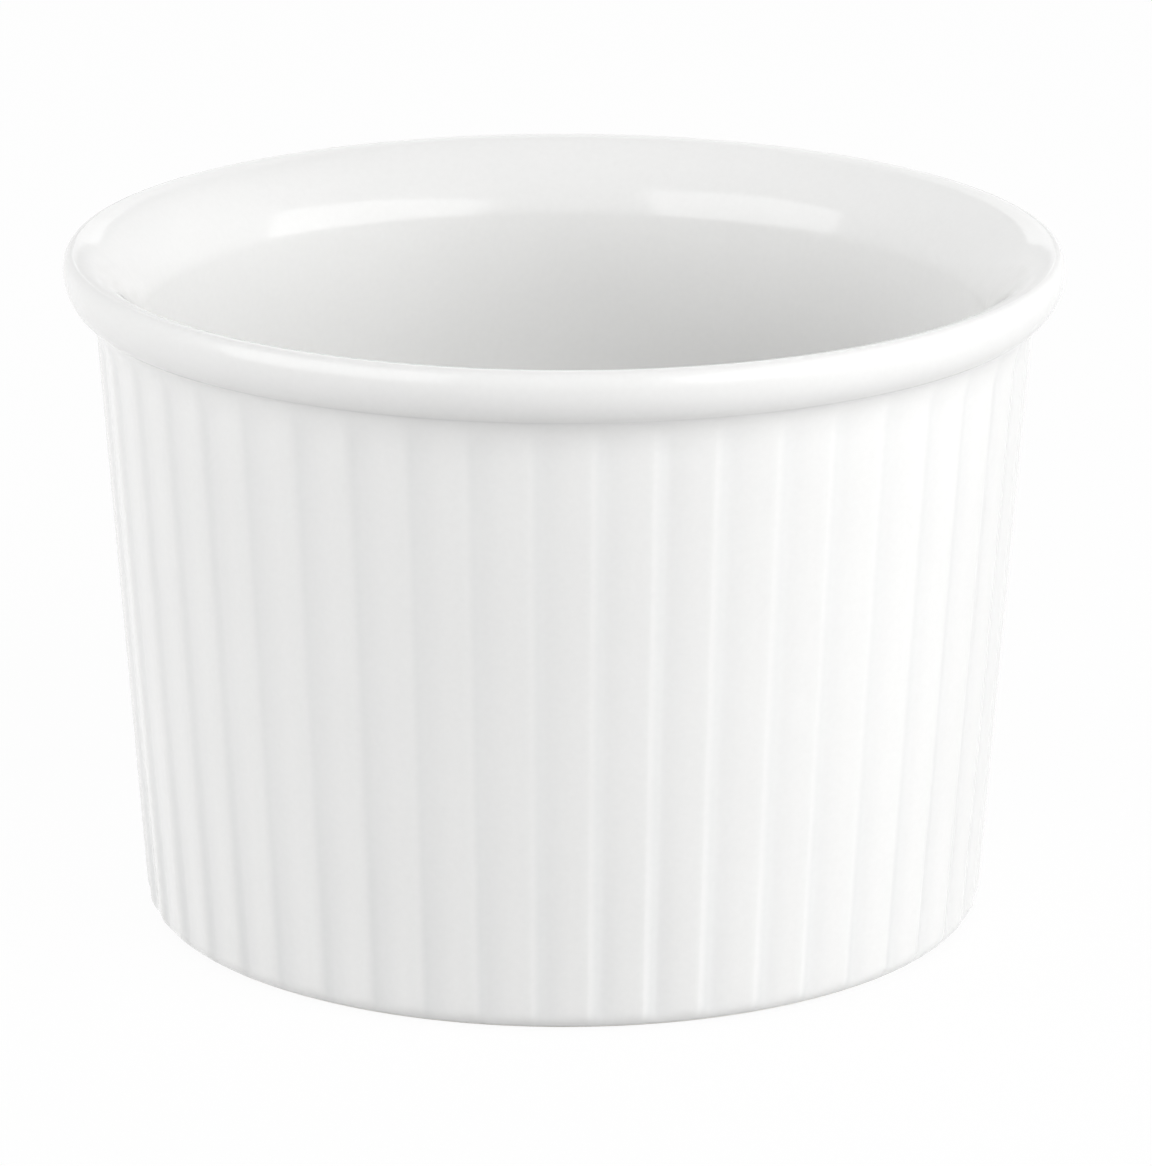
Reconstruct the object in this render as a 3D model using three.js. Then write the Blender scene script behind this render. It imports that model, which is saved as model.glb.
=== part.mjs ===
// Souffle dish in glazed porcelain: a deep cup with knife pleats round its wall and a rolled lip.
// The fired body is divided where its form changes, and the glaze fused to it is a skin of its own.
// Millimetres, +Z up. The origin is the centre of the foot, on the table, and -Y is the front.
import * as THREE from "three";

// Overall sizes
const lipDiameter = 90; // widest, across the rolled lip
const height = 61.3; // table to the crown of the lip
const baseDiameter = 76.1; // outside of the wall, carried down to the table
const wallThickness = 4; // glaze to glaze, measured level, at the crest of a pleat
const floorThickness = 3.5; // glaze to glaze
const glazeThickness = 0.25;

// Lip
const lipOverhang = 2.8; // from the wall out to the widest point
const lipDepth = 5.1; // from the crown down to where the roll would meet the wall
const lipShoulderDrop = 1.5; // from the crown down to the widest point
const lipShoulderWidth = 1; // from the crown out to the widest point
const lipHollowAngle = 68; // degrees below the widest point at which the roll turns into the hollow
const lipHollowDrop = 3.2; // along the wall, over which the hollow eases into it
const mouthDepth = 6.6; // of the bevelled mouth, from the crown down to the straight inside wall
const mouthCrownShare = 0.39; // of the mouth's width, over which the crown rounds into the bevel
const mouthKneeShare = 0.41; // of the mouth's depth, over which the bevel rounds into the wall

// Foot
const footWidth = 3; // bare ring that stands on the table
const footRecess = 2; // underside above the table
const baseCornerRadius = 2;
const floorCornerRadius = 6; // inside, floor to wall

// Pleats
const pleatCount = 48;
const pleatDepth = 0.3; // from the crest in to the fold, at the foot
const pleatUpperShare = 0.63; // of that depth, which the folds keep in the upper wall
const pleatTaperHeight = 24; // above the table, where the upper wall starts
const pleatStepShare = 0.26; // of a pleat's width, taken by the step from crest to fold
const pleatPhase = -2.4; // degrees from the front to the nearest fold, positive towards +X

// Straight pieces to a curve
const cornerSteps = 3;
const hollowSteps = 4;
const rollSteps = 4;
const mouthSteps = 6;
const floorCornerSteps = 4;

const stationsPerPleat = 2;
const stations = stationsPerPleat * pleatCount;
const floorTop = footRecess + floorThickness;
const bodyUnderside = footRecess + glazeThickness;

const lipShoulder = new THREE.Vector2(lipDiameter / 2, height - lipShoulderDrop);
const crownRadius = lipShoulder.x - lipShoulderWidth;
const wallTop = new THREE.Vector2(lipShoulder.x - lipOverhang, height - lipDepth);
const wallSlope = (wallTop.x - baseDiameter / 2) / wallTop.y;
const wallLean = Math.atan(wallSlope);

function outsideWallAt(z) {
  return baseDiameter / 2 + wallSlope * z;
}

function insideWallAt(z) {
  return outsideWallAt(z) - wallThickness;
}

// Arc from a level face up into a wall, tangent to both.
function cornerArc(wallAt, level, radius, steps) {
  const centreZ = level + radius;
  const centreR = wallAt(centreZ) - radius / Math.cos(wallLean);
  const arc = new THREE.EllipseCurve(centreR, centreZ, radius, radius, -Math.PI / 2, -wallLean);
  return arc.getPoints(steps);
}

// Underside of the roll, from the hollow up to the widest point.
function rollUnderside() {
  const drop = lipShoulder.y - wallTop.y;
  const start = -THREE.MathUtils.degToRad(lipHollowAngle);
  return new THREE.EllipseCurve(wallTop.x, lipShoulder.y, lipOverhang, drop, start, 0);
}

// Top of the roll, from the widest point up to the crown.
function rollTop() {
  const end = Math.PI / 2;
  return new THREE.EllipseCurve(crownRadius, lipShoulder.y, lipShoulderWidth, lipShoulderDrop, 0, end);
}

// Hollow between the wall and the roll, tangent to both.
function hollowUnderLip() {
  const roll = rollUnderside();
  const end = roll.getPoint(0);
  const along = roll.getTangent(0);
  const reach = (end.x - outsideWallAt(end.y)) / (along.x - wallSlope * along.y);
  const corner = end.clone().addScaledVector(along, -reach);
  const wall = new THREE.Vector2(Math.sin(wallLean), Math.cos(wallLean));
  const start = corner.clone().addScaledVector(wall, -lipHollowDrop);
  return new THREE.QuadraticBezierCurve(start, corner, end);
}

// Bevelled mouth, from the crown in and down to the straight inside wall, rounded into both.
function mouthCurve() {
  const crown = new THREE.Vector2(crownRadius, height);
  const end = new THREE.Vector2(insideWallAt(height - mouthDepth), height - mouthDepth);
  const width = crown.x - insideWallAt(height);
  const wall = new THREE.Vector2(Math.sin(wallLean), Math.cos(wallLean));
  const overCrown = crown.clone().setX(crown.x - mouthCrownShare * width);
  const aboveKnee = end.clone().addScaledVector(wall, mouthKneeShare * mouthDepth);
  return new THREE.CubicBezierCurve(crown, overCrown, aboveKnee, end);
}

// Section of the glazed surface, from the foot up the outside, over the lip and down to the floor's centre.
const corner = cornerArc(outsideWallAt, 0, baseCornerRadius, cornerSteps);
const footLevelZ = bodyUnderside - glazeThickness * Math.sin(wallLean);
const footLevel = new THREE.Vector2(outsideWallAt(footLevelZ), footLevelZ);
const taper = new THREE.Vector2(outsideWallAt(pleatTaperHeight), pleatTaperHeight);
const hollow = hollowUnderLip().getPoints(hollowSteps);
const underside = rollUnderside().getPoints(rollSteps);
const top = rollTop().getPoints(rollSteps);
const outsideLine = [...corner, footLevel, taper, ...hollow, ...underside.slice(1), ...top.slice(1)];
const mouth = mouthCurve().getPoints(mouthSteps);
const floorCorner = cornerArc(insideWallAt, floorTop, floorCornerRadius, floorCornerSteps);
const floorCentre = new THREE.Vector2(0, floorTop);
const insideLine = [...mouth.slice(1), ...floorCorner.reverse(), floorCentre];

// Places along that section
const glazeStart = 1;
const footLevelPlace = corner.length;
const wallEnd = footLevelPlace + 2;
const crown = outsideLine.length - 1;
const mouthEnd = crown + mouthSteps;
const floorEdge = crown + insideLine.length - 1;

// How much of a pleat's depth the outside has at a height: none on the foot's face, all just above it, less in the
// upper wall and none on the roll.
function pleatShareAt(z) {
  const rising = THREE.MathUtils.smoothstep(z, 0, corner[cornerSteps].y);
  const settling = THREE.MathUtils.smoothstep(z, corner[cornerSteps].y, taper.y);
  const fading = THREE.MathUtils.smoothstep(z, hollow[0].y, hollow[hollowSteps].y);
  return rising * THREE.MathUtils.lerp(1, pleatUpperShare, settling) * (1 - fading);
}

function profilePoint(r, z, pleat = 0) {
  return { r, z, pleat };
}

const glazeLine = [
  ...outsideLine.map((p) => profilePoint(p.x, p.y, pleatShareAt(p.y))),
  ...insideLine.map((p) => profilePoint(p.x, p.y)),
];

function normalInto(from, to) {
  return new THREE.Vector2(from.z - to.z, to.r - from.r).normalize();
}

// The surface of the porcelain under the glaze, point for point.
const bodyLine = glazeLine.map((here, i) => {
  const before = i > 0 ? normalInto(glazeLine[i - 1], here) : null;
  const after = i < glazeLine.length - 1 ? normalInto(here, glazeLine[i + 1]) : null;
  const normal = (before ?? after).clone().add(after ?? before).normalize();
  const depth = glazeThickness / normal.dot(before ?? after);
  return profilePoint(here.r + depth * normal.x, here.z + depth * normal.y, here.pleat);
});

const footInside = corner[0].x - footWidth;
const floorRadius = bodyLine[floorEdge].r;

// Each pleat has a fold and a crest. The wall comes out slowly from fold to crest, and steps in to the next.
function stationAngle(station) {
  const pitch = (2 * Math.PI) / pleatCount;
  const atCrest = station % stationsPerPleat === 1;
  const along = Math.floor(station / stationsPerPleat) + (atCrest ? 1 - pleatStepShare : 0);
  return THREE.MathUtils.degToRad(pleatPhase) + along * pitch;
}

// Facets between neighbouring stations. Each is halved by the heights of its ends and not by the way that the
// profile runs, so that two pieces which share a surface have the same facets there.
function facets(profile) {
  const index = [];
  const count = profile.length;
  for (let first = 0; first < stations * count; first += count) {
    for (let i = 0; i < count - 1; i += 1) {
      const [a, b, c, d] = [first + i, first + count + i, first + count + i + 1, first + i + 1];
      const rise = profile[i + 1].z - profile[i].z || profile[i + 1].r - profile[i].r;
      index.push(...(rise > 0 ? [a, b, d, c, d, b] : [a, b, c, a, c, d]));
    }
  }
  return index;
}

// A solid turned about +Z, with its outside pressed into pleats.
function turned(profile) {
  const outline = profile.map((p) => new THREE.Vector2(p.r, p.z));
  const geometry = new THREE.LatheGeometry(outline, stations);
  geometry.setIndex(facets(profile));
  const position = geometry.attributes.position;
  for (let i = 0; i < position.count; i += 1) {
    const station = Math.floor(i / profile.length) % stations;
    const { r, z, pleat } = profile[i % profile.length];
    const inFold = station % stationsPerPleat === 0;
    const radius = inFold ? r - pleatDepth * pleat : r;
    const angle = stationAngle(station);
    position.setXYZ(i, radius * Math.sin(angle), z, radius * Math.cos(angle));
  }
  geometry.rotateX(Math.PI / 2);
  geometry.computeVertexNormals();
  return geometry;
}

function turnedRing(profile) {
  return turned([...profile, profile[0]]);
}

// Bare ring under the wall, ground flat where it stands.
function footRing() {
  return turnedRing([
    profilePoint(footInside, 0),
    ...glazeLine.slice(0, glazeStart + 1),
    ...bodyLine.slice(glazeStart, footLevelPlace + 1),
    profilePoint(footInside, bodyUnderside),
  ]);
}

// Leaning wall with the pleats outside and the round corner to the floor inside.
function pleatedWall() {
  return turnedRing([
    profilePoint(floorRadius, bodyUnderside),
    ...bodyLine.slice(footLevelPlace, wallEnd + 1),
    ...bodyLine.slice(mouthEnd, floorEdge + 1),
  ]);
}

// Flat round floor inside the wall.
function floorDisc() {
  return turned([
    profilePoint(0, bodyUnderside),
    profilePoint(floorRadius, bodyUnderside),
    ...bodyLine.slice(floorEdge),
  ]);
}

// Thick rim, rolled outwards over the pleats and bevelled into the mouth.
function rolledLip() {
  return turnedRing(bodyLine.slice(wallEnd, mouthEnd + 1));
}

// Glaze from the foot up the pleats to the crown.
function outsideGlaze() {
  const coat = glazeLine.slice(glazeStart, crown + 1);
  const under = bodyLine.slice(glazeStart, crown + 1).reverse();
  return turnedRing([...coat, ...under]);
}

// Glaze from the crown down the inside and over the floor.
function insideGlaze() {
  const under = bodyLine.slice(crown).reverse();
  return turned([...under, ...glazeLine.slice(crown)]);
}

// Glaze in the recess under the floor, inside the bare foot.
function undersideGlaze() {
  return turned([
    profilePoint(0, footRecess),
    profilePoint(footInside, footRecess),
    profilePoint(footInside, bodyUnderside),
    profilePoint(0, bodyUnderside),
  ]);
}

function barePorcelain() {
  return new THREE.MeshStandardMaterial({ color: 0xe8e4dc, roughness: 0.7, metalness: 0 });
}

function whiteGlaze() {
  return new THREE.MeshStandardMaterial({ color: 0xf3f3f1, roughness: 0.1, metalness: 0 });
}

function piece(name, geometry, material) {
  const mesh = new THREE.Mesh(geometry, material);
  mesh.name = name;
  return mesh;
}

const dish = new THREE.Group();
dish.add(
  piece("foot_ring", footRing(), barePorcelain()),
  piece("floor_disc", floorDisc(), barePorcelain()),
  piece("pleated_wall", pleatedWall(), barePorcelain()),
  piece("rolled_lip", rolledLip(), barePorcelain()),
  piece("outside_glaze", outsideGlaze(), whiteGlaze()),
  piece("inside_glaze", insideGlaze(), whiteGlaze()),
  piece("underside_glaze", undersideGlaze(), whiteGlaze()),
);

export default dish;
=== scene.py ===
import math

import bpy
from mathutils import Matrix, Vector


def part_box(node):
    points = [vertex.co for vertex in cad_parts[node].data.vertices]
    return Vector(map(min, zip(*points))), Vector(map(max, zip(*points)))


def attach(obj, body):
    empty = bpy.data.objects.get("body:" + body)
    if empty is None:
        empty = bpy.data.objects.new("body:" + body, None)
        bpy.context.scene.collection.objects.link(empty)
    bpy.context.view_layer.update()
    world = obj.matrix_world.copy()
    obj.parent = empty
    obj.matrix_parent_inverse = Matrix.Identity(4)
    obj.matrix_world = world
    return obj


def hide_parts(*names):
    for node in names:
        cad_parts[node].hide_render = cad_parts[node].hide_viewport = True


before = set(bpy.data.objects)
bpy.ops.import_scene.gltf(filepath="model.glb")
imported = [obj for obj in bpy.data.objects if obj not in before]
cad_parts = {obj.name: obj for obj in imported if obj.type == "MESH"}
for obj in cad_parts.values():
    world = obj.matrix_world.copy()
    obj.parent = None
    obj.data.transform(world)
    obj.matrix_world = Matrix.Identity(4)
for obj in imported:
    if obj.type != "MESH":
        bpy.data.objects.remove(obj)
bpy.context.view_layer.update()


# Fired body: floor, wall and lip are one piece of white porcelain, pressed in a pleated mould and fired hard.
# Glaze covers all three, so their CAD solids stay as they are, behind it, in the colour of the bare clay.

def put(tree, kind, sockets=None, **settings):
    """A node with its settings, and with its input sockets set or linked by name or number."""
    node = tree.nodes.new(kind)
    for name, value in settings.items():
        setattr(node, name, value)
    for socket, value in (sockets or {}).items():
        if isinstance(value, bpy.types.NodeSocket):
            tree.links.new(value, node.inputs[socket])
        else:
            node.inputs[socket].default_value = value
    return node


def sum_of(tree, operation, *values):
    """The output of a Math node over those values."""
    return put(tree, "ShaderNodeMath", dict(enumerate(values)), operation=operation).outputs[0]


def eased(tree, value, low, high, at_low, at_high):
    """The output of a smooth Map Range from low and high to the two values there."""
    sockets = {"Value": value, "From Min": low, "From Max": high, "To Min": at_low, "To Max": at_high}
    return put(tree, "ShaderNodeMapRange", sockets, interpolation_type="SMOOTHSTEP").outputs[0]


def shader_group(name, inputs, outputs):
    """An empty shader group with those sockets, and its two end nodes."""
    group = bpy.data.node_groups.new(name, "ShaderNodeTree")
    for socket, kind in inputs.items():
        group.interface.new_socket(socket, in_out="INPUT", socket_type=kind)
    for socket, kind in outputs.items():
        group.interface.new_socket(socket, in_out="OUTPUT", socket_type=kind)
    return group, group.nodes.new("NodeGroupInput").outputs, group.nodes.new("NodeGroupOutput").inputs


def make_kiln_specks():
    """Iron specks that burn out of the clay: a few round dots, each in a cell of its own."""
    sockets = {
        "Place": "NodeSocketVector",
        "Cells per Metre": "NodeSocketFloat",
        "Share of Cells": "NodeSocketFloat",
        "Speck Radius": "NodeSocketFloat",
    }
    group, given, result = shader_group("kiln specks", sockets, {"Speck": "NodeSocketFloat"})
    cells = put(group, "ShaderNodeTexVoronoi", {"Vector": given["Place"], "Scale": given["Cells per Metre"]})
    lot = put(group, "ShaderNodeSeparateColor", {"Color": cells.outputs["Color"]}).outputs["Red"]
    drawn = sum_of(group, "LESS_THAN", lot, given["Share of Cells"])
    heart_share = 0.4
    heart = sum_of(group, "MULTIPLY", given["Speck Radius"], heart_share)
    dot = eased(group, cells.outputs["Distance"], heart, given["Speck Radius"], at_low=1.0, at_high=0.0)
    group.links.new(sum_of(group, "MULTIPLY", drawn, dot), result["Speck"])
    return group


def make_fired_grain():
    """Unevenness of fired clay or glaze: a tone near 1 and a height near 0, at a coarse and a fine scale."""
    sockets = {
        "Place": "NodeSocketVector",
        "Coarse per Metre": "NodeSocketFloat",
        "Fine per Metre": "NodeSocketFloat",
        "Tone Range": "NodeSocketFloat",
    }
    group, given, result = shader_group(
        "fired grain", sockets, {"Tone": "NodeSocketFloat", "Height": "NodeSocketFloat"}
    )
    coarse = put(group, "ShaderNodeTexNoise", {"Vector": given["Place"], "Scale": given["Coarse per Metre"]})
    fine = put(group, "ShaderNodeTexNoise", {"Vector": given["Place"], "Scale": given["Fine per Metre"]})
    coarse.inputs["Detail"].default_value = 3.0
    fine.inputs["Detail"].default_value = 1.0
    both = sum_of(group, "ADD", coarse.outputs["Fac"], fine.outputs["Fac"])
    level = sum_of(group, "SUBTRACT", both, 1.0)
    group.links.new(sum_of(group, "MULTIPLY_ADD", level, given["Tone Range"], 1.0), result["Tone"])
    group.links.new(level, result["Height"])
    return group


kiln_specks = make_kiln_specks()
fired_grain = make_fired_grain()


def new_finish(name):
    """A material with only its output and a Principled shader, and Object coordinates to work from."""
    finish = bpy.data.materials.new(name)
    finish.use_nodes = True
    tree = finish.node_tree
    place = tree.nodes.new("ShaderNodeTexCoord").outputs["Object"]
    return finish, tree, tree.nodes["Principled BSDF"], place


def tinted(tree, share, from_colour, to_colour):
    """A colour that goes from one to the other with that share."""
    mix = put(tree, "ShaderNodeMix", {"Factor": share}, data_type="RGBA")
    for number, colour in ((6, from_colour), (7, to_colour)):
        if isinstance(colour, bpy.types.NodeSocket):
            tree.links.new(colour, mix.inputs[number])
        else:
            mix.inputs[number].default_value = (*colour, 1.0)
    return mix.outputs[2]


def toned(tree, colour, tone):
    """A colour made lighter or darker by a tone near 1."""
    scale = put(tree, "ShaderNodeVectorMath", {0: colour, "Scale": tone}, operation="SCALE")
    return scale.outputs["Vector"]


def make_fired_porcelain():
    """The clay under the glaze: dense, off-white, hardly grained."""
    finish, tree, shader, place = new_finish("fired_porcelain")
    grain = put(tree, "ShaderNodeGroup", {}, node_tree=fired_grain)
    specks = put(tree, "ShaderNodeGroup", {}, node_tree=kiln_specks)
    for node, values in (
        (grain, {"Coarse per Metre": 90.0, "Fine per Metre": 2600.0, "Tone Range": 0.05}),
        (specks, {"Cells per Metre": 220.0, "Share of Cells": 0.04, "Speck Radius": 0.06}),
    ):
        tree.links.new(place, node.inputs["Place"])
        for socket, value in values.items():
            node.inputs[socket].default_value = value
    clay = tinted(tree, specks.outputs["Speck"], (0.86, 0.85, 0.82), (0.46, 0.42, 0.37))
    tree.links.new(toned(tree, clay, grain.outputs["Tone"]), shader.inputs["Base Color"])
    rough = eased(tree, grain.outputs["Height"], low=-0.4, high=0.4, at_low=0.5, at_high=0.66)
    tree.links.new(rough, shader.inputs["Roughness"])
    return finish


fired_porcelain = make_fired_porcelain()
for node_name in ("floor_disc", "pleated_wall", "rolled_lip"):
    clay_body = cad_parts[node_name].data.materials
    clay_body.clear()
    clay_body.append(fired_porcelain)


# Foot ring: the lower edge of the same body, wiped clean of glaze so that it doesn't stick in the kiln,
# and then ground flat to stand on. Bare porcelain, matt and fine-grained, with the pleats dying out
# round its corner.

MM = 0.001
base_radius = 38.05
wall_spread = 4.15
wall_rise = 56.2
wall_slope = wall_spread / wall_rise
wall_lean = math.atan(wall_slope)
base_corner_radius = 2.0
foot_width = 3.0
foot_recess = 2.0
foot_ease = 0.25
ledge_inset = 0.12
ledge_rise = 0.2
glaze_thickness = 0.25
pleats = 48
pleat_depth = 0.3
pleat_upper_share = 0.63
pleat_taper_height = 24.0
pleat_step_share = 0.26
first_fold = math.radians(-2.4)


def wall_at(z):
    """Radius of the outside of the wall at a height, at the crest of a pleat."""
    return base_radius + wall_slope * z


def rising(value, low, high):
    """From 0 at low to 1 at high, with soft ends."""
    t = min(max((value - low) / (high - low), 0.0), 1.0)
    return t * t * (3 - 2 * t)


def arc(centre, radii, start, end, steps):
    """Points of an elliptical arc in the section, angles from outwards to up."""
    turns = [start + (end - start) * i / steps for i in range(steps + 1)]
    return [(centre[0] + radii[0] * math.cos(t), centre[1] + radii[1] * math.sin(t)) for t in turns]


def bent(points, steps):
    """Points of the smooth curve that three or four points pull into shape."""
    def at(t):
        level = points
        while len(level) > 1:
            level = [((1 - t) * a[0] + t * b[0], (1 - t) * a[1] + t * b[1]) for a, b in zip(level, level[1:])]
        return level[0]
    return [at(i / steps) for i in range(steps + 1)]


def straight(start, end, steps):
    """Points from start to end, both counted."""
    return bent([start, end], steps)


def corner_arc(wall_radius, level, radius, steps):
    """Arc from a level face up into a leaning wall, tangent to both."""
    centre_z = level + radius
    centre_r = wall_radius(centre_z) - radius / math.cos(wall_lean)
    return arc((centre_r, centre_z), (radius, radius), -math.pi / 2, -wall_lean, steps)


def make_turned_tree():
    """Geometry Nodes that turn a section about +Z and press its outside into knife pleats.

    The section is a line of points, each with its share of the pleats' depth. From a fold the wall comes
    out slowly to the crest, and then steps in to the next fold. No two folds are quite alike.
    """
    tree = bpy.data.node_groups.new("turned and pleated", "GeometryNodeTree")
    for socket, kind in (
        ("Section", "NodeSocketGeometry"),
        ("Pleats", "NodeSocketInt"),
        ("Stations per Pleat", "NodeSocketInt"),
        ("First Fold", "NodeSocketFloat"),
        ("Pleat Depth", "NodeSocketFloat"),
        ("Step Share", "NodeSocketFloat"),
        ("Fold Softness", "NodeSocketFloat"),
        ("Crest Softness", "NodeSocketFloat"),
        # Where the painted shade at the folds starts before a fold, and how far up the slow side it reaches
        ("Fold Shade Lead", "NodeSocketFloat"),
        ("Fold Shade Reach", "NodeSocketFloat"),
        ("Uneven Spacing", "NodeSocketFloat"),
        ("Uneven Depth", "NodeSocketFloat"),
        ("Seed", "NodeSocketInt"),
        ("Sharp from Angle", "NodeSocketFloat"),
        ("Finish", "NodeSocketMaterial"),
    ):
        tree.interface.new_socket(socket, in_out="INPUT", socket_type=kind)
    tree.interface.new_socket("Piece", in_out="OUTPUT", socket_type="NodeSocketGeometry")
    given = tree.nodes.new("NodeGroupInput").outputs

    def whole(operation, a, b):
        return put(tree, "FunctionNodeIntegerMath", {0: a, 1: b}, operation=operation).outputs[0]

    def calc(operation, *values):
        return sum_of(tree, operation, *values)

    # A grid of columns round the axis and rows along the section
    size = put(tree, "GeometryNodeAttributeDomainSize", {0: given["Section"]})
    rows = size.outputs["Point Count"]
    columns = whole("ADD", whole("MULTIPLY", given["Pleats"], given["Stations per Pleat"]), 1)
    grid = put(tree, "GeometryNodeMeshGrid", {"Vertices X": columns, "Vertices Y": rows})
    index = tree.nodes.new("GeometryNodeInputIndex").outputs[0]
    row = whole("MODULO", index, rows)
    column = whole("DIVIDE_FLOOR", index, rows)
    pleat = whole("DIVIDE_FLOOR", column, given["Stations per Pleat"])
    station = whole("MODULO", column, given["Stations per Pleat"])

    def from_section(field, kind):
        node = put(tree, "GeometryNodeSampleIndex", {0: given["Section"]}, data_type=kind, domain="POINT")
        tree.links.new(field, node.inputs["Value"])
        tree.links.new(row, node.inputs["Index"])
        return node.outputs[0]

    point = from_section(tree.nodes.new("GeometryNodeInputPosition").outputs[0], "FLOAT_VECTOR")
    radius, _, z = put(tree, "ShaderNodeSeparateXYZ", {0: point}).outputs
    share_field = put(tree, "GeometryNodeInputNamedAttribute", {"Name": "pleat_share"}, data_type="FLOAT")
    share = from_section(share_field.outputs[0], "FLOAT")

    # How far along its pleat a station is: half of them on the slow side, half on the step, closer at turns
    pull_to_ends = 0.75
    half = calc("DIVIDE", given["Stations per Pleat"], 2.0)
    through = calc("DIVIDE", station, half)
    slow_share = calc("SUBTRACT", 1.0, given["Step Share"])

    def drawn_to_ends(t):
        wave = calc("SINE", calc("MULTIPLY", t, math.tau))
        return calc("MULTIPLY_ADD", wave, -pull_to_ends / math.tau, t)

    on_slow = drawn_to_ends(calc("MINIMUM", through, 1.0))
    on_step = drawn_to_ends(calc("MAXIMUM", calc("SUBTRACT", through, 1.0), 0.0))
    along = calc("MULTIPLY_ADD", on_slow, slow_share, calc("MULTIPLY", on_step, given["Step Share"]))

    # How far in the surface is: 1 at a fold, 0 at a crest, rounded at both and then stretched back to those
    # depths. A smooth minimum or maximum cuts a sixth of its softness off a corner.
    softness_per_cut = 6.0
    left = calc("SUBTRACT", 1.0, along)
    slow_side = calc("SUBTRACT", 1.0, calc("DIVIDE", along, slow_share))
    step_side = calc("SUBTRACT", 1.0, calc("DIVIDE", left, given["Step Share"]))
    step_before = calc("ADD", 1.0, calc("DIVIDE", along, given["Step Share"]))
    slow_after = calc("ADD", 1.0, calc("DIVIDE", left, slow_share))
    from_fold = calc("SMOOTH_MIN", slow_side, step_before, given["Fold Softness"])
    to_fold = calc("SMOOTH_MIN", step_side, slow_after, given["Fold Softness"])
    rounded = calc("SMOOTH_MAX", from_fold, to_fold, given["Crest Softness"])
    crest_cut = calc("DIVIDE", given["Crest Softness"], softness_per_cut)
    fold_cut = calc("DIVIDE", given["Fold Softness"], softness_per_cut)
    depth_left = calc("SUBTRACT", calc("SUBTRACT", 1.0, crest_cut), fold_cut)
    inset = calc("DIVIDE", calc("SUBTRACT", rounded, crest_cut), depth_left)

    # How much painted shade the glaze gets at the folds: most low on a step, just before its fold, and less
    # and less up the slow side
    fold_shade_rise_from = 0.86
    past = calc("FRACT", calc("ADD", along, given["Fold Shade Lead"]))
    fading = calc("MAXIMUM", calc("SUBTRACT", 1.0, calc("DIVIDE", past, given["Fold Shade Reach"])), 0.0)
    fold_shade = calc("ADD", fading, eased(tree, past, fold_shade_rise_from, 1.0, at_low=0.0, at_high=1.0))

    # Each fold a little out of place and a little deeper or shallower than the next
    def lot(number, seed_step):
        node = put(tree, "FunctionNodeRandomValue", {}, data_type="FLOAT")
        sockets = {socket.name: socket for socket in node.inputs if socket.enabled}
        sockets["Min"].default_value = -1.0
        sockets["Max"].default_value = 1.0
        tree.links.new(whole("MODULO", whole("ADD", pleat, number), given["Pleats"]), sockets["ID"])
        tree.links.new(whole("ADD", given["Seed"], seed_step), sockets["Seed"])
        return next(socket for socket in node.outputs if socket.enabled)

    def uneven(seed_step):
        here = calc("MULTIPLY", lot(0, seed_step), left)
        following = calc("MULTIPLY", lot(1, seed_step), along)
        return calc("ADD", here, following)

    shift = calc("MULTIPLY", uneven(0), given["Uneven Spacing"])
    way_round = calc("DIVIDE", calc("ADD", calc("ADD", pleat, along), shift), given["Pleats"])
    angle = calc("MULTIPLY_ADD", way_round, math.tau, given["First Fold"])
    depth_factor = calc("MULTIPLY_ADD", uneven(1), given["Uneven Depth"], 1.0)
    depth = calc("MULTIPLY", given["Pleat Depth"], depth_factor)
    reach = calc("SUBTRACT", radius, calc("MULTIPLY", depth, calc("MULTIPLY", share, inset)))
    x = calc("MULTIPLY", reach, calc("SINE", angle))
    y = calc("MULTIPLY", reach, calc("MULTIPLY", calc("COSINE", angle), -1.0))
    place = put(tree, "ShaderNodeCombineXYZ", {0: x, 1: y, 2: z}).outputs[0]

    # The painted fold shade is kept as an attribute for the finish, then the seam and the poles are closed
    merge_distance = 0.001 * MM
    painted_fold_shade = calc("MULTIPLY", share, fold_shade)
    kept = {0: grid.outputs["Mesh"], "Name": "painted_fold_shade", "Value": painted_fold_shade}
    marked = put(tree, "GeometryNodeStoreNamedAttribute", kept, data_type="FLOAT", domain="POINT")
    turned = put(tree, "GeometryNodeSetPosition", {0: marked.outputs[0], "Position": place})
    closed = put(tree, "GeometryNodeMergeByDistance", {0: turned.outputs[0], "Distance": merge_distance})
    shaded = {0: closed.outputs[0], "Shade Smooth": True}
    smooth = put(tree, "GeometryNodeSetShadeSmooth", shaded, domain="FACE")
    bend = tree.nodes.new("GeometryNodeInputMeshEdgeAngle").outputs["Unsigned Angle"]
    sharp = calc("GREATER_THAN", bend, given["Sharp from Angle"])
    creased = {0: smooth.outputs[0], "Selection": sharp, "Shade Smooth": False}
    edged = put(tree, "GeometryNodeSetShadeSmooth", creased, domain="EDGE")
    real = put(tree, "GeometryNodeRealizeInstances", {0: edged.outputs[0]})
    finished = put(tree, "GeometryNodeSetMaterial", {0: real.outputs[0], "Material": given["Finish"]})
    tree.links.new(finished.outputs[0], tree.nodes.new("NodeGroupOutput").inputs[0])
    return tree


turned_tree = make_turned_tree()


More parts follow.
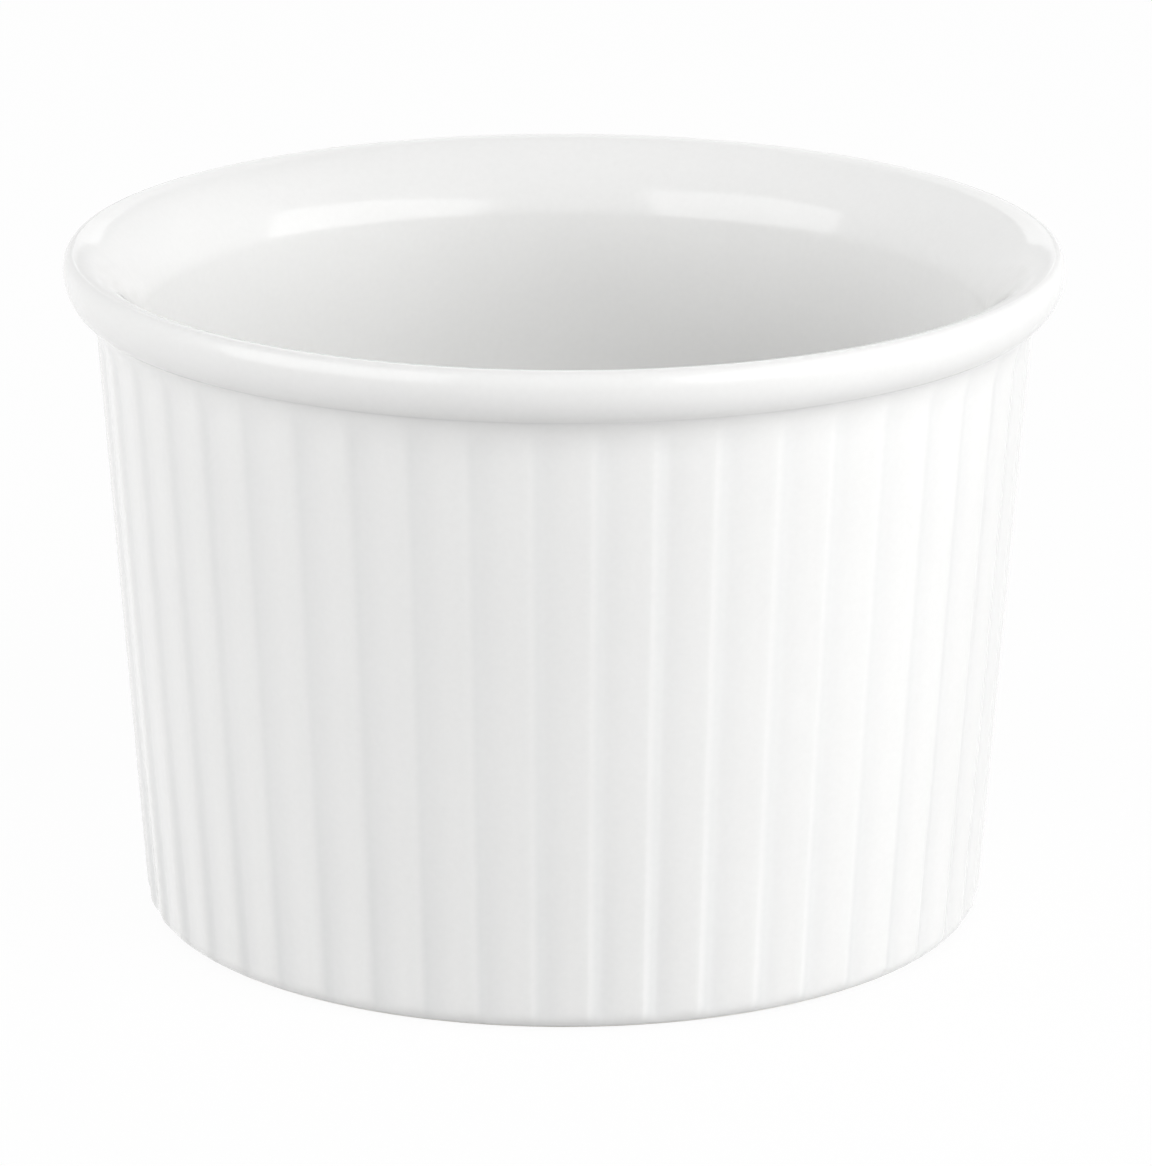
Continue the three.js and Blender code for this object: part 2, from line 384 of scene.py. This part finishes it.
def turn(name, section, finish, stations):
    """A closed piece turned from a section of (radius, height, share of the pleats' depth) in millimetres."""
    mesh = bpy.data.meshes.new(name + "_section")
    points = [(r * MM, 0.0, z * MM) for r, z, _ in section]
    mesh.from_pydata(points, [(i, i + 1) for i in range(len(points) - 1)], [])
    shares = mesh.attributes.new("pleat_share", "FLOAT", "POINT")
    shares.data.foreach_set("value", [share for _, _, share in section])
    piece = bpy.data.objects.new(name, mesh)
    bpy.context.scene.collection.objects.link(piece)
    modifier = piece.modifiers.new("turned and pleated", "NODES")
    modifier.node_group = turned_tree
    values = {
        "Pleats": pleats,
        "Stations per Pleat": stations,
        "First Fold": first_fold,
        "Pleat Depth": pleat_depth * MM,
        "Step Share": pleat_step_share,
        "Fold Softness": 0.9,
        "Crest Softness": 0.45,
        # Painted shade at the folds: how far before a fold it starts, and how far up the slow side it reaches
        "Fold Shade Lead": 0.1,
        "Fold Shade Reach": 0.5,
        "Uneven Spacing": 0.04,
        "Uneven Depth": 0.12,
        "Seed": 7,
        "Sharp from Angle": math.radians(38),
        "Finish": finish,
    }
    for item in turned_tree.interface.items_tree:
        if item.in_out == "INPUT" and item.name in values:
            modifier[item.identifier] = values[item.name]
    depsgraph = bpy.context.evaluated_depsgraph_get()
    evaluated = piece.evaluated_get(depsgraph)
    made = bpy.data.meshes.new_from_object(evaluated, preserve_all_data_layers=True, depsgraph=depsgraph)
    piece.modifiers.clear()
    piece.data = made
    made.name = name
    bpy.data.meshes.remove(mesh)
    return piece


def make_bare_porcelain():
    """Unglazed clay, ground smooth: matt, warmer than the glaze, greyed where it stands on the table."""
    finish, tree, shader, place = new_finish("bare_porcelain")
    grain = put(tree, "ShaderNodeGroup", {"Place": place}, node_tree=fired_grain)
    specks = put(tree, "ShaderNodeGroup", {"Place": place}, node_tree=kiln_specks)
    for node, values in (
        (grain, {"Coarse per Metre": 160.0, "Fine per Metre": 3800.0, "Tone Range": 0.08}),
        (specks, {"Cells per Metre": 260.0, "Share of Cells": 0.06, "Speck Radius": 0.07}),
    ):
        for socket, value in values.items():
            node.inputs[socket].default_value = value
    height = put(tree, "ShaderNodeSeparateXYZ", {0: place}).outputs["Z"]
    scuffs = put(tree, "ShaderNodeTexNoise", {"Vector": place, "Scale": 420.0, "Detail": 4.0})
    ground_height = 0.25 * MM
    ground = eased(tree, height, low=0.0, high=ground_height, at_low=1.0, at_high=0.0)
    worn = sum_of(tree, "MULTIPLY", ground, scuffs.outputs["Fac"])
    clay = tinted(tree, worn, (0.84, 0.82, 0.78), (0.56, 0.55, 0.53))
    clay = tinted(tree, specks.outputs["Speck"], clay, (0.42, 0.37, 0.31))
    tree.links.new(toned(tree, clay, grain.outputs["Tone"]), shader.inputs["Base Color"])
    rough = eased(tree, grain.outputs["Height"], low=-0.4, high=0.4, at_low=0.62, at_high=0.8)
    tree.links.new(rough, shader.inputs["Roughness"])
    relief = {"Height": grain.outputs["Height"], "Strength": 0.5, "Distance": 0.02 * MM}
    bump = put(tree, "ShaderNodeBump", relief)
    tree.links.new(bump.outputs[0], shader.inputs["Normal"])
    return finish


base_corner = corner_arc(wall_at, 0.0, base_corner_radius, steps=12)
bare_steps = 4


def pleat_share_at(z):
    """How much of the pleats' depth a height has: none at the foot, all above the corner, then less."""
    settled = rising(z, base_corner[-1][1], pleat_taper_height)
    return rising(z, 0.0, base_corner[-1][1]) * (1.0 + (pleat_upper_share - 1.0) * settled)


def foot_ring_section():
    """Ground face, start of the round outer corner, step under the glaze, recess inside."""
    bare = base_corner[:bare_steps + 1]
    edge_r, edge_z = bare[-1]
    inner_radius = base_corner[0][0] - foot_width
    top = foot_recess + glaze_thickness
    ledge = [(edge_r - ledge_inset, edge_z + ledge_rise), (wall_at(top) - glaze_thickness, top)]
    outside = [(r, z, pleat_share_at(z)) for r, z in bare + ledge]
    centre = (inner_radius + foot_ease, foot_ease)
    ease = arc(centre, (foot_ease, foot_ease), math.pi, 1.5 * math.pi, steps=4)
    inside = [(r, z, 0.0) for r, z in [(inner_radius, top)] + ease]
    return outside + inside + outside[:1]


bare_porcelain = make_bare_porcelain()
bare_foot = turn("bare_foot", foot_ring_section(), bare_porcelain, stations=16)
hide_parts("foot_ring")
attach(bare_foot, "root")


# Outside glaze: a clear glossy coat over the white body, dipped and fired on, from the crown of the lip over
# the roll and down the pleats to the foot. It rounds the crests and folds and ends in a soft bead above the
# foot.
# Its colour is darker at the folds, which is painted shade where the pleats shade themselves.

dish_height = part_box("inside_glaze")[1].z / MM
rim_clearance = 0.003
lip_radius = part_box("outside_glaze")[1].x / MM - rim_clearance
lip_depth = 5.1
lip_shoulder_drop = 1.5
crown_radius = 44.0
lip_hollow_angle = math.radians(68)
lip_hollow_drop = 3.2
bead_inset = 0.01
bead_rise = 0.02
back_stride = 3


def make_white_glaze():
    """Clear glaze on white porcelain: bright, glossy and faintly rippled, with painted shade darkening it at
    the folds.
    """
    finish, tree, shader, place = new_finish("white_glaze")
    grain = put(tree, "ShaderNodeGroup", {"Place": place}, node_tree=fired_grain)
    specks = put(tree, "ShaderNodeGroup", {"Place": place}, node_tree=kiln_specks)
    for node, values in (
        (grain, {"Coarse per Metre": 60.0, "Fine per Metre": 1900.0, "Tone Range": 0.03}),
        (specks, {"Cells per Metre": 190.0, "Share of Cells": 0.035, "Speck Radius": 0.03}),
    ):
        for socket, value in values.items():
            node.inputs[socket].default_value = value
    # Painted shade: the glaze colour is darkened towards the second colour at the folds, where the pleats
    # shade themselves
    painted_fold_shade = put(tree, "ShaderNodeAttribute", {}, attribute_name="painted_fold_shade").outputs["Fac"]
    glaze = tinted(tree, painted_fold_shade, (0.905, 0.905, 0.898), (0.832, 0.836, 0.834))
    glaze = tinted(tree, specks.outputs["Speck"], glaze, (0.5, 0.47, 0.42))
    tree.links.new(toned(tree, glaze, grain.outputs["Tone"]), shader.inputs["Base Color"])
    rough = eased(tree, grain.outputs["Height"], low=-0.5, high=0.5, at_low=0.06, at_high=0.12)
    tree.links.new(rough, shader.inputs["Roughness"])
    ripple = put(tree, "ShaderNodeTexNoise", {"Vector": place, "Scale": 420.0, "Detail": 1.0})
    relief = {"Height": ripple.outputs["Fac"], "Strength": 0.3, "Distance": 0.02 * MM}
    bump = put(tree, "ShaderNodeBump", relief)
    tree.links.new(bump.outputs[0], shader.inputs["Normal"])
    shader.inputs["IOR"].default_value = 1.52
    return finish


def offset_inwards(line, depth):
    """The line moved to its left by a depth, point for point."""
    moved = []
    for i, (r, z) in enumerate(line):
        before = line[max(i - 1, 0)]
        after = line[min(i + 1, len(line) - 1)]
        along = math.hypot(after[0] - before[0], after[1] - before[1])
        moved.append((r - depth * (after[1] - before[1]) / along, z + depth * (after[0] - before[0]) / along))
    return moved


def outside_line():
    """Surface of the outside glaze from above the base corner, through the hollow, to the crown of the lip.

    Also the two heights between which the pleats die out, at the ends of the hollow.
    """
    shoulder = dish_height - lip_shoulder_drop
    wall_top = dish_height - lip_depth
    roll_radii = (lip_radius - wall_at(wall_top), shoulder - wall_top)
    roll = arc((wall_at(wall_top), shoulder), roll_radii, -lip_hollow_angle, 0.0, steps=20)
    across = roll_radii[0] * math.sin(lip_hollow_angle)
    upwards = roll_radii[1] * math.cos(lip_hollow_angle)
    along = Vector((across, upwards))
    along.normalize()
    reach = (roll[0][0] - wall_at(roll[0][1])) / (along[0] - wall_slope * along[1])
    elbow = (roll[0][0] - along[0] * reach, roll[0][1] - along[1] * reach)
    down_wall = (-math.sin(wall_lean), -math.cos(wall_lean))
    hollow_start = (elbow[0] + down_wall[0] * lip_hollow_drop, elbow[1] + down_wall[1] * lip_hollow_drop)
    hollow = bent([hollow_start, elbow, roll[0]], steps=16)
    wall = straight(base_corner[-1], hollow_start, steps=20)
    top_radii = (lip_radius - crown_radius, lip_shoulder_drop)
    top = arc((crown_radius, shoulder), top_radii, 0.0, math.pi / 2, steps=12)
    return wall + hollow[1:] + roll[1:] + top[1:], hollow_start[1], roll[0][1]


def outside_glaze_section():
    """Bead above the foot, surface up to the crown, and the coat's back against the porcelain."""
    line, fade_start, fade_end = outside_line()
    line = base_corner[bare_steps + 1:-1] + line
    under = offset_inwards(line, glaze_thickness)
    edge_r, edge_z = base_corner[bare_steps]
    bead_start = (edge_r - ledge_inset, edge_z + ledge_rise)
    bead = bent([bead_start, (edge_r - bead_inset, edge_z + bead_rise), line[0]], steps=4)[:-1]
    back = [under[i] for i in range(len(under) - 1, back_stride, -back_stride)]
    section = []
    for r, z in bead + line + back:
        section.append((r, z, pleat_share_at(z) * (1.0 - rising(z, fade_start, fade_end))))
    return section + section[:1]


white_glaze = make_white_glaze()
glazed_outside = turn("glazed_outside", outside_glaze_section(), white_glaze, stations=18)
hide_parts("outside_glaze")
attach(glazed_outside, "root")


# Inside glaze: the same coat, poured in and out again, from the crown down the bevelled mouth and the plain
# inside wall, round the corner and over the floor. It is smooth, with no pleats.

wall_thickness = 4.0
floor_thickness = 3.5
floor_top = foot_recess + floor_thickness
floor_corner_radius = 6.0
mouth_depth = 6.6
mouth_crown_share = 0.39
mouth_knee_share = 0.41


def inside_wall_at(z):
    """Radius of the inside of the wall at a height."""
    return wall_at(z) - wall_thickness


def inside_line():
    """Surface of the inside glaze, from the crown down to the centre of the floor."""
    end = (inside_wall_at(dish_height - mouth_depth), dish_height - mouth_depth)
    width = crown_radius - inside_wall_at(dish_height)
    over_crown = (crown_radius - mouth_crown_share * width, dish_height)
    knee = mouth_knee_share * mouth_depth
    above_knee = (end[0] + math.sin(wall_lean) * knee, end[1] + math.cos(wall_lean) * knee)
    mouth = bent([(crown_radius, dish_height), over_crown, above_knee, end], steps=30)
    corner = corner_arc(inside_wall_at, floor_top, floor_corner_radius, steps=16)[::-1]
    wall = straight(end, corner[0], steps=8)
    floor = straight(corner[-1], (0.0, floor_top), steps=6)
    return mouth + wall[1:] + corner[1:] + floor[1:]


def inside_glaze_section():
    """The coat's back against the porcelain, then its surface from the crown to the centre of the floor."""
    line = inside_line()
    under = offset_inwards(line, glaze_thickness)
    back = [(0.0, under[-1][1])] + [under[i] for i in range(len(under) - back_stride, -1, -back_stride)]
    return [(r, z, 0.0) for r, z in back + line]


glazed_inside = turn("glazed_inside", inside_glaze_section(), white_glaze, stations=8)
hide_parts("inside_glaze")
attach(glazed_inside, "root")


# Underside glaze: the coat in the shallow recess under the floor, inside the bare foot. It creeps a little
# way down the foot's inner side where it was wet, so that its edge is a soft fillet.

fillet_width = 0.9
fillet_bend = 0.2
fillet_drop = 0.35


def underside_glaze_section():
    """Level surface from the centre, fillet at the foot, and the coat's back against the porcelain."""
    edge = base_corner[0][0] - foot_width
    fillet_start = (edge - fillet_width, foot_recess)
    fillet_end = (edge, foot_recess - fillet_drop)
    fillet = bent([fillet_start, (edge - fillet_bend, foot_recess), fillet_end], steps=6)
    line = straight((0.0, foot_recess), fillet[0], steps=5) + fillet[1:]
    top = foot_recess + glaze_thickness
    return [(r, z, 0.0) for r, z in line + [(edge, top), (0.0, top)]]


glazed_underside = turn("glazed_underside", underside_glaze_section(), white_glaze, stations=6)
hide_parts("underside_glaze")
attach(glazed_underside, "root")


# Studio: a plain white sweep in soft light from all sides, most of it from low at the left and the right.
# The floor shows white to the camera and keeps a faint shadow of the dish. Three white cards show only in
# the gloss of the glaze: two make the highlights across the mouth, and one behind brightens the lip's crown.

floor_half_width = 3.0
floor_grey = 0.5
floor_white = 0.95
floor_glow_share = 0.95
air_strength = 0.27
box_distance = 0.8
box_half_angles = (14, 12)


def background_ray(tree):
    """1 where a ray that shows the background to the camera, a gloss or a glass meets the surface."""
    rays = tree.nodes.new("ShaderNodeLightPath").outputs
    seen = sum_of(tree, "MAXIMUM", rays["Is Camera Ray"], rays["Is Glossy Ray"])
    return sum_of(tree, "MAXIMUM", seen, rays["Is Transmission Ray"])


floor_mesh = bpy.data.meshes.new("studio_floor")
floor_signs = ((-1, -1), (1, -1), (1, 1), (-1, 1))
floor_corners = [(x * floor_half_width, y * floor_half_width, 0.0) for x, y in floor_signs]
floor_mesh.from_pydata(floor_corners, [], [(0, 1, 2, 3)])
studio_floor = bpy.data.objects.new("studio_floor", floor_mesh)
bpy.context.scene.collection.objects.link(studio_floor)
floor_finish, floor_tree, floor_shader, _ = new_finish("white_sweep")
floor_seen = background_ray(floor_tree)
floor_colour = tinted(floor_tree, floor_seen, (floor_grey,) * 3, (floor_white,) * 3)
floor_tree.links.new(floor_colour, floor_shader.inputs["Base Color"])
floor_shader.inputs["Roughness"].default_value = 0.9
floor_glow = put(floor_tree, "ShaderNodeEmission", {"Color": (1.0, 1.0, 1.0, 1.0), "Strength": 1.0})
floor_mix = put(floor_tree, "ShaderNodeMixShader", {
    0: sum_of(floor_tree, "MULTIPLY", floor_seen, floor_glow_share),
    1: floor_shader.outputs[0],
    2: floor_glow.outputs[0],
})
floor_tree.links.new(floor_mix.outputs[0], floor_tree.nodes["Material Output"].inputs["Surface"])
floor_mesh.materials.append(floor_finish)

studio_air = bpy.data.worlds.new("studio_air")
studio_air.use_nodes = True
air_tree = studio_air.node_tree
air_light = air_tree.nodes["Background"]
air_light.inputs["Color"].default_value = (1.0, 1.0, 1.0, 1.0)
air_light.inputs["Strength"].default_value = air_strength
air_white = put(air_tree, "ShaderNodeBackground", {"Color": (1.0, 1.0, 1.0, 1.0), "Strength": 1.0})
air_mix = put(air_tree, "ShaderNodeMixShader", {
    0: background_ray(air_tree), 1: air_light.outputs[0], 2: air_white.outputs[0],
})
air_tree.links.new(air_mix.outputs[0], air_tree.nodes["World Output"].inputs["Surface"])
bpy.context.scene.world = studio_air


def panel_towards_dish(name, azimuth, elevation, distance, half_angles, brightness, roll=0.0):
    """A flat bright panel facing the dish, at an azimuth of 0 on the camera's side and 90 at its right."""
    target = Vector((0.0, 0.0, 0.05))
    a, e = math.radians(azimuth), math.radians(elevation)
    away = Vector((math.sin(a) * math.cos(e), -math.cos(a) * math.cos(e), math.sin(e)))
    panel = bpy.data.lights.new(name, "AREA")
    panel.shape = "RECTANGLE"
    panel.size = 2 * distance * math.tan(math.radians(half_angles[0]))
    panel.size_y = 2 * distance * math.tan(math.radians(half_angles[1]))
    panel.energy = brightness * math.pi * panel.size * panel.size_y
    lamp = bpy.data.objects.new(name, panel)
    facing = (-away).to_track_quat("-Z", "Y").to_matrix().to_4x4()
    place = Matrix.Translation(target + away * distance)
    lamp.matrix_world = place @ facing @ Matrix.Rotation(math.radians(roll), 4, "Z")
    lamp.visible_camera = False
    bpy.context.scene.collection.objects.link(lamp)
    return lamp


for name, azimuth, elevation, brightness in (
    ("left_low_box", -78, 12, 7.1),
    ("left_back_box", -115, 12, 1.4),
    ("front_high_box", -15, 40, 0.6),
    ("front_low_box", 27, 12, 4.2),
    ("right_high_box", 49, 40, 4.0),
    ("right_low_box", 77, 12, 4.5),
    ("back_right_box", 150, 40, 2.5),
    ("back_left_box", -150, 40, 1.2),
):
    soft_box = panel_towards_dish(name, azimuth, elevation, box_distance, box_half_angles, brightness)
    soft_box.visible_glossy = False

for card in (
    panel_towards_dish("right_card", 58, 18.5, 0.68, (32.5, 22), 1.6),
    panel_towards_dish("left_card", -55, 21, 0.7, (27, 26), 1.5, roll=12),
    panel_towards_dish("back_card", 180, 32, 0.9, (13, 18), 0.55),
):
    card.visible_diffuse = False


# Camera: placed as in the photo, about 67 cm from the dish and looking down on it at about 17 degrees
# through a long lens.

camera_data = bpy.data.cameras.new("camera")
camera_data.sensor_width = 36.0
camera_data.lens = 227.61
camera_data.clip_start = 0.01
camera = bpy.data.objects.new("camera", camera_data)
bpy.context.scene.collection.objects.link(camera)
camera_place = Vector((0.0, -0.643125, 0.220590))
camera_aim = Vector((0.001124, 0.0, 0.029631))
looking = (camera_aim - camera_place).to_track_quat("-Z", "Y").to_matrix().to_4x4()
camera_roll_degrees = 0.110
camera_roll = Matrix.Rotation(math.radians(camera_roll_degrees), 4, "Z")
camera.matrix_world = Matrix.Translation(camera_place) @ looking @ camera_roll
bpy.context.scene.camera = camera
bpy.context.scene.view_settings.view_transform = "Standard"
